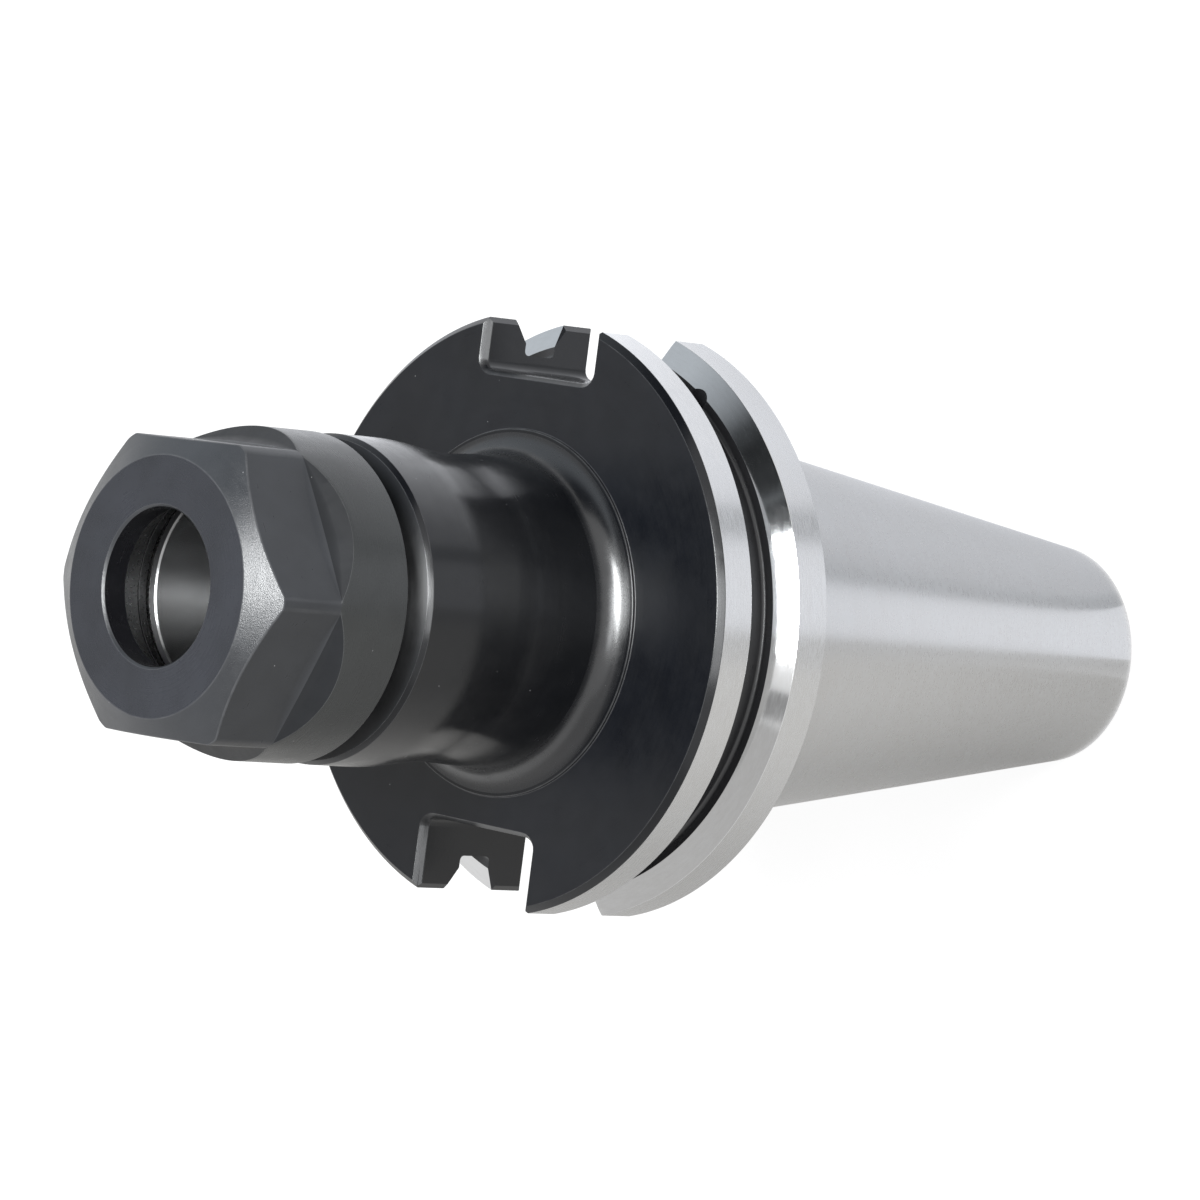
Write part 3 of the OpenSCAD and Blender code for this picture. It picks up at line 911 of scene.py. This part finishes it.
# Finishes of the pieces
body_materials = [
    ground_steel("taper_ground_steel", light=0.65, dark=0.59, warm=0.008, rough=0.30, pitch=0.22,
                 bump=0.16, spin=0.75),
    ground_steel("rim_ground_steel", light=0.66, dark=0.60, warm=0.008, rough=0.27, pitch=0.15,
                 bump=0.12, spin=0.7),
    ground_steel("flank_ground_steel", light=0.68, dark=0.62, warm=0.0, rough=0.08, pitch=0.12,
                 bump=0.04, spin=0.2),
    black_oxide("body_black_oxide", (0.0036, 0.0041, 0.0054), rough=0.23, specular=0.48,
                grain=0.10, bump=0.02, rub=0.06, spin=0.6, sheen=1.0),
    black_oxide("groove_black_oxide", (0.019, 0.019, 0.021), rough=0.3, specular=0.7,
                grain=0.12, bump=0.08, rub=0.1),
    ground_steel("socket_ground_steel", light=0.50, dark=0.48, warm=0.0, rough=0.26, pitch=0.4,
                 bump=0.01, spin=0.93, uneven=(0.98, 1.03)),
    black_oxide("bore_dark_steel", (0.012, 0.012, 0.014), rough=0.4, specular=0.3,
                grain=0.2, bump=0.2, rub=0.0),
    black_oxide("thread_dark_steel", (0.05, 0.05, 0.055), rough=0.3, specular=0.5,
                grain=0.2, bump=0.2, rub=0.3),
    black_oxide("shoulder_black_oxide", (0.012, 0.013, 0.015), rough=0.5, specular=1.0,
                grain=0.10, bump=0.1, rub=0.1, spin=0.94),
    black_oxide("face_black_oxide", (0.0022, 0.0030, 0.0052), rough=0.33, specular=0.50,
                grain=0.10, bump=0.03, rub=0.05),
    black_oxide("fillet_black_oxide", (0.0036, 0.0041, 0.0054), rough=0.26, specular=1.0,
                grain=0.10, bump=0.02, rub=0.04, spin=0.6),
]
nut_materials = [
    black_oxide("nut_face_oxide", (0.021, 0.023, 0.029), rough=0.28, specular=0.55,
                grain=0.10, bump=0.02, rub=0.06),
    black_oxide("nut_cone_oxide", (0.020, 0.022, 0.026), rough=0.32, specular=0.8,
                grain=0.14, bump=0.9, rub=0.08, rings_share=0.1),
    black_oxide("nut_flats_oxide", (0.029, 0.031, 0.035), rough=0.32, specular=0.45,
                grain=0.12, bump=0.12, rub=0.08, rings_share=0.1),
    black_oxide("nut_run_out_oxide", (0.012, 0.013, 0.015), rough=0.34, specular=0.30,
                grain=0.12, bump=0.15, rub=0.08, rings_share=0.1),
    black_oxide("nut_turned_oxide", (0.027, 0.029, 0.029), rough=0.28, specular=0.48,
                grain=0.12, bump=0.015, rub=0.08),
    ground_steel("press_ground_steel", light=0.23, dark=0.20, warm=0.0, rough=0.28, pitch=0.3,
                 bump=0.03, spin=0.92, uneven=(0.94, 1.08)),
    black_oxide("nut_inside_oxide", (0.010, 0.010, 0.012), rough=0.25, specular=0.5,
                grain=0.1, bump=0.08, rub=0.1),
]

# Pieces
body = new_object("holder_body_turned", body_mesh(), body_materials)
for side in (-1, 1):
    tool = new_object("drilling_cutter", drilling_cutter(math.radians(side * DRILLING_ANGLE)),
                      [body_materials[DARK_BORE]])
    cut = body.modifiers.new("drilling", "BOOLEAN")
    cut.operation = "DIFFERENCE"
    cut.solver = "EXACT"
    cut.material_mode = "TRANSFER"
    cut.object = tool
    apply_modifiers(body)
    bpy.data.objects.remove(tool)
finish_mesh(body, sharp=32)
true_flanks(body)
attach(body, "holder")
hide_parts("holder_body")

nut = new_object("clamping_nut_milled", nut_mesh(), nut_materials)
finish_mesh(nut, sharp=50)
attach(nut, "nut")
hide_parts("clamping_nut")


# Floor and background
def white_to_eyes(tree):
    """1 for rays from the camera, a reflection or a refraction, 0 for the rest."""
    path = put(tree, "ShaderNodeLightPath").outputs
    return maths(tree, "MAXIMUM", path["Is Camera Ray"],
                 maths(tree, "MAXIMUM", path["Is Glossy Ray"], path["Is Transmission Ray"]))


def floor_material():
    """White sheet that stays near white to the camera and keeps the holder's shadow."""
    material, tree, shader = new_material("floor_sheet")
    shader.inputs["Base Color"].default_value = (0.2, 0.2, 0.2, 1.0)
    shader.inputs["Roughness"].default_value = 0.9
    shader.inputs["Specular IOR Level"].default_value = 0.0
    shader.inputs["Emission Color"].default_value = (0.86, 0.86, 0.86, 1.0)
    glow = blend_numbers(tree, white_to_eyes(tree), 0.35, 1.0)
    tree.links.new(glow, shader.inputs["Emission Strength"])
    return material


# Half the side of the floor, in metres
FLOOR_REACH = 6.0
floor_mesh = bpy.data.meshes.new("floor_sheet")
floor_mesh.from_pydata([(-FLOOR_REACH, -FLOOR_REACH, 0), (FLOOR_REACH, -FLOOR_REACH, 0),
                        (FLOOR_REACH, FLOOR_REACH, 0), (-FLOOR_REACH, FLOOR_REACH, 0)],
                       [], [(0, 1, 2, 3)])
floor = new_object("floor_sheet", floor_mesh, [floor_material()])

world = bpy.data.worlds.new("studio")
bpy.context.scene.world = world
world.use_nodes = True
sky = world.node_tree
sky.nodes.clear()
sky_level = blend_numbers(sky, white_to_eyes(sky), 0.5, 1.0)
sky_light = put(sky, "ShaderNodeBackground", {"Color": (1, 1, 1, 1), "Strength": sky_level})
sky_out = sky.nodes.new("ShaderNodeOutputWorld")
sky.links.new(sky_light.outputs[0], sky_out.inputs["Surface"])


# Camera at the photograph's place, from a fit to 40 of its points. Angles are in degrees.
CAMERA_PLACE = (36.8564, -485.8293, 554.4268)
CAMERA_TURN = -4.0905
CAMERA_TILT = 44.6230
CAMERA_ROLL = -85.5396
SENSOR_W = 36
FOCAL_LEN = 192.5791
# Farthest distance that the camera sees, in metres
CAMERA_REACH = 20


def camera_axes(turn, tilt, roll):
    """The camera's right, up and forward directions."""
    turn, tilt, roll = (math.radians(a) for a in (turn, tilt, roll))
    ahead = Vector((math.sin(turn) * math.cos(tilt), math.cos(turn) * math.cos(tilt),
                    -math.sin(tilt)))
    level = Vector((ahead.y, -ahead.x, 0)).normalized()
    over = level.cross(ahead)
    right = level * math.cos(roll) + over * math.sin(roll)
    up = over * math.cos(roll) - level * math.sin(roll)
    return right, up, ahead


right, up, ahead = camera_axes(CAMERA_TURN, CAMERA_TILT, CAMERA_ROLL)
lens = bpy.data.cameras.new("photo_camera")
lens.sensor_fit = "HORIZONTAL"
lens.sensor_width = SENSOR_W
lens.lens = FOCAL_LEN
lens.clip_end = CAMERA_REACH
camera = bpy.data.objects.new("photo_camera", lens)
aimed = Matrix((right, up, -ahead)).transposed().to_4x4()
camera.matrix_world = Matrix.Translation(Vector(CAMERA_PLACE) * MM) @ aimed
bpy.context.scene.collection.objects.link(camera)
bpy.context.scene.camera = camera


# Lights and the cards that the steel reflects. Their sizes are in metres.
CENTRE = Vector((0, 0, 0.075))
# Height of the floor cards above the floor
CARD_LIFT = 0.0004
# Inner and outer end of a floor card, from the holder's axis
CARD_REACH = ((0.0128, 1.0), (0.7, 1.0))
# A round card has a row of points at least every so many degrees
CARD_STEP = 3
BAND_R = 0.85
BAND_ROWS = 6


def direction(azimuth, height):
    """Unit vector towards an azimuth and a height in degrees."""
    az, el = math.radians(azimuth), math.radians(height)
    return Vector((math.cos(az) * math.cos(el), math.sin(az) * math.cos(el), math.sin(el)))


def softbox(name, azimuth, height, distance, size, level, colour):
    """Area lamp aimed at the holder; level is its brightness as seen."""
    way = direction(azimuth, height)
    width, tall = size
    data = bpy.data.lights.new(name, "AREA")
    data.shape = "RECTANGLE"
    data.size = width
    data.size_y = tall
    data.color = colour
    data.energy = level * math.pi * width * tall
    lamp = bpy.data.objects.new(name, data)
    lamp.location = CENTRE + way * distance
    lamp.rotation_euler = way.to_track_quat("Z", "Y").to_euler()
    lamp.visible_camera = False
    bpy.context.scene.collection.objects.link(lamp)


def card_material(name, colour):
    """Card whose brightness is held by its points."""
    material = bpy.data.materials.new(name)
    material.use_nodes = True
    tree = material.node_tree
    tree.nodes.clear()
    level = put(tree, "ShaderNodeAttribute", attribute_name="level").outputs["Fac"]
    glow = put(tree, "ShaderNodeEmission", {"Color": colour, "Strength": level})
    output = tree.nodes.new("ShaderNodeOutputMaterial")
    tree.links.new(glow.outputs[0], output.inputs["Surface"])
    return material


def new_card(name, colour, verts, faces, levels):
    """Card that only reflections see, with its brightness at each point."""
    mesh = bpy.data.meshes.new(name)
    mesh.from_pydata(verts, [], faces)
    mesh.attributes.new("level", "FLOAT", "POINT").data.foreach_set("value", levels)
    card = new_object(name, mesh, [card_material(name, (*colour, 1.0))])
    card.visible_camera = False
    card.visible_diffuse = False
    card.visible_shadow = False
    card.visible_transmission = False
    card.visible_volume_scatter = False
    return card


def round_card(name, colour, stops, row):
    """Card round the holder's axis, from stops of (azimuth in degrees, brightness).

    row gives its points at an azimuth in radians, each as (place, share of the brightness).
    """
    verts, levels, faces = [], [], []
    for (start, first), (end, last) in zip(stops, stops[1:]):
        steps = max(2, round(abs(end - start) / CARD_STEP))
        for i in range(steps + 1):
            t = i / steps
            points = row(math.radians(start + (end - start) * t))
            verts += [place for place, share in points]
            levels += [(first + (last - first) * t) * share for place, share in points]
            if i:
                here = len(verts) - len(points)
                back = here - len(points)
                for j in range(len(points) - 1):
                    faces.append((back + j, back + j + 1, here + j + 1, here + j))
    card = new_card(name, colour, verts, faces, levels)


def floor_card(name, colour, stops, reach=CARD_REACH):
    """Round card on the floor. reach holds (radius, share), from the inside out."""
    def row(a):
        return [((r * math.cos(a), r * math.sin(a), CARD_LIFT), share) for r, share in reach]

    round_card(name, colour, stops, row)


def sky_band(name, colour, low, high, stops):
    """Round card on a dome over the holder, between two heights in degrees."""
    def row(a):
        points = []
        for j in range(BAND_ROWS + 1):
            el = math.radians(low + (high - low) * j / BAND_ROWS)
            points.append(((BAND_R * math.cos(a) * math.cos(el),
                            BAND_R * math.sin(a) * math.cos(el),
                            CENTRE.z + BAND_R * math.sin(el)), 1.0))
        return points

    round_card(name, colour, stops, row)


def sky_card(name, azimuth, height, distance, side, level):
    """Flat square card above the holder, facing it."""
    way = direction(azimuth, height)
    h = side / 2
    card = new_card(name, (1, 1, 1), [(-h, -h, 0), (h, -h, 0), (h, h, 0), (-h, h, 0)],
                    [(0, 1, 2, 3)], [level] * 4)
    card.location = CENTRE + way * distance
    card.rotation_euler = way.to_track_quat("Z", "Y").to_euler()


COOL = (0.97, 0.99, 1.04)
WARM = (1.01, 1.0, 0.98)
WHITE = (1, 1, 1)
DARK = (0.92, 0.99, 1.06)

softbox("overhead_box", -61, 67, 0.9, size=(0.36, 0.40), level=28.0, colour=(0.97, 0.99, 1.0))
softbox("camera_box", -84, 44, 0.9, size=(0.46, 0.26), level=6.0, colour=(0.96, 0.98, 1.0))

# The taper, the rings and the neck reflect the floor
floor_card("strip_panel", COOL, [(-86, 1.05), (-55, 1.05)])
floor_card("panel_edge_upper", (0.95, 0.98, 1.03), [(-55, 0.56), (-49, 0.60), (-44, 0.72)])
floor_card("panel_edge_lower", WHITE, [(-97, 0.74), (-90, 0.62), (-86, 0.66)])
floor_card("cool_card", COOL, [(-44, 0.72), (-20, 0.81), (8, 0.82), (75, 1.0)],
           [(0.0128, 1.0), (0.094, 1.0), (0.106, 1.9), (0.127, 1.9), (0.136, 1.4), (0.145, 1.25),
            (0.165, 1.0), (0.7, 1.0)])
# The warm card dims towards the holder's foot: painted shade of the holder on the floor that the
# taper reflects
floor_card("warm_card_with_painted_shade", WARM, [(-262, 0.95), (-245, 0.64), (-220, 0.58), (-172, 0.58),
                               (-145, 0.70), (-120, 0.79), (-97, 0.79)],
           [(0.0128, 0.74), (0.030, 0.78), (0.050, 0.95), (0.070, 1.0), (0.7, 1.0)])

# The flange's face, the flank behind the groove and the nut reflect the sky
sky_band("dark_side", DARK, 2, 72, [(-17, 0.20), (-13, 0.04), (2, 0.03), (8, 0.08), (15, 0.35),
                                    (28, 0.68), (72, 0.75)])
sky_band("dark_edge", DARK, 56, 76, [(-32, 0.30), (-27, 0.06), (-17, 0.05)])
sky_band("grey_side", (1.01, 1, 0.99), 25, 78, [(116, 0.55), (150, 0.66), (185, 0.62),
                                                (222, 0.58)])
sky_card("rear_sky", 94, 45, 0.8, side=0.5, level=0.5)
sky_card("small_flag", -133, 71, 0.6, side=0.10, level=0.35)

bpy.context.scene.view_settings.view_transform = "Standard"
